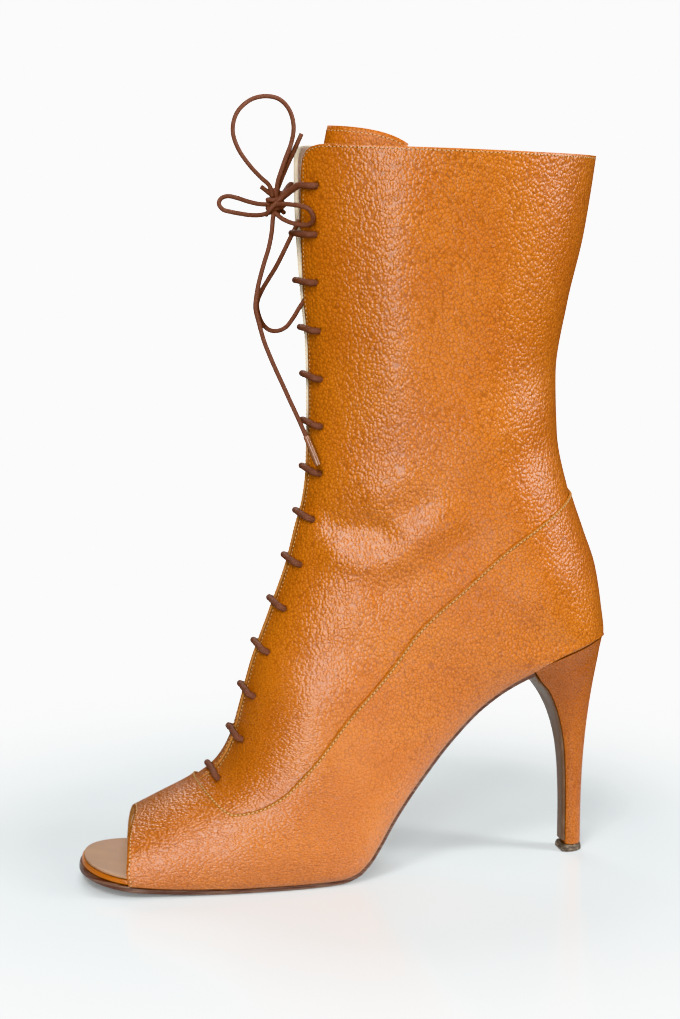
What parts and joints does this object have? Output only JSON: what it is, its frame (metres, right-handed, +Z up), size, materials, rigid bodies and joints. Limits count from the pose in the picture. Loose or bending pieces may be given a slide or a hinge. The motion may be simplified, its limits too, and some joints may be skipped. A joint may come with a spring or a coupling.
{
  "type": "lace-up heeled boot",
  "caption": "Heeled lace-up ankle boot with an open peep toe, a stitched lower panel, a tongue behind the lacing, a tied bow and a slim covered stiletto heel.",
  "frame": {"origin": "middle of the boot's box seen from above, on the plane it stands on, measured without the free lace", "axes": "+X towards the heel and -X towards the toe, -Y towards the outer side, +Y towards the inner side, +Z up"},
  "size_m": [0.2234, 0.0792, 0.3203],
  "materials": {
    "leather": "pebbled orange-tan grain, satin",
    "sole": "smooth dark brown edge and worn tread",
    "sock": "matt taupe, worn",
    "rubber": "matt, worn",
    "lace": "round waxed brown cord"
  },
  "bodies": {
    "root": {"outsole": "sole", "heel": "leather", "top_piece": "rubber", "insole_board": "leather", "insole_sock": "sock", "upper": "leather", "tongue": "leather", "lace_bar_01": "lace", "lace_bar_02": "lace", "lace_bar_03": "lace", "lace_bar_04": "lace", "lace_bar_05": "lace", "lace_bar_06": "lace", "lace_bar_07": "lace", "lace_bar_08": "lace", "lace_bar_09": "lace", "lace_bar_10": "lace", "lace_bar_11": "lace", "lace_bar_12": "lace", "lace_bar_13": "lace", "lace_bar_14": "lace", "lace_knot": "lace", "lace_loop_up": "lace", "lace_loop_front": "lace", "lace_loop_side": "lace", "lace_end_long": "lace", "lace_end_curl": "lace"}
  },
  "joints": []
}
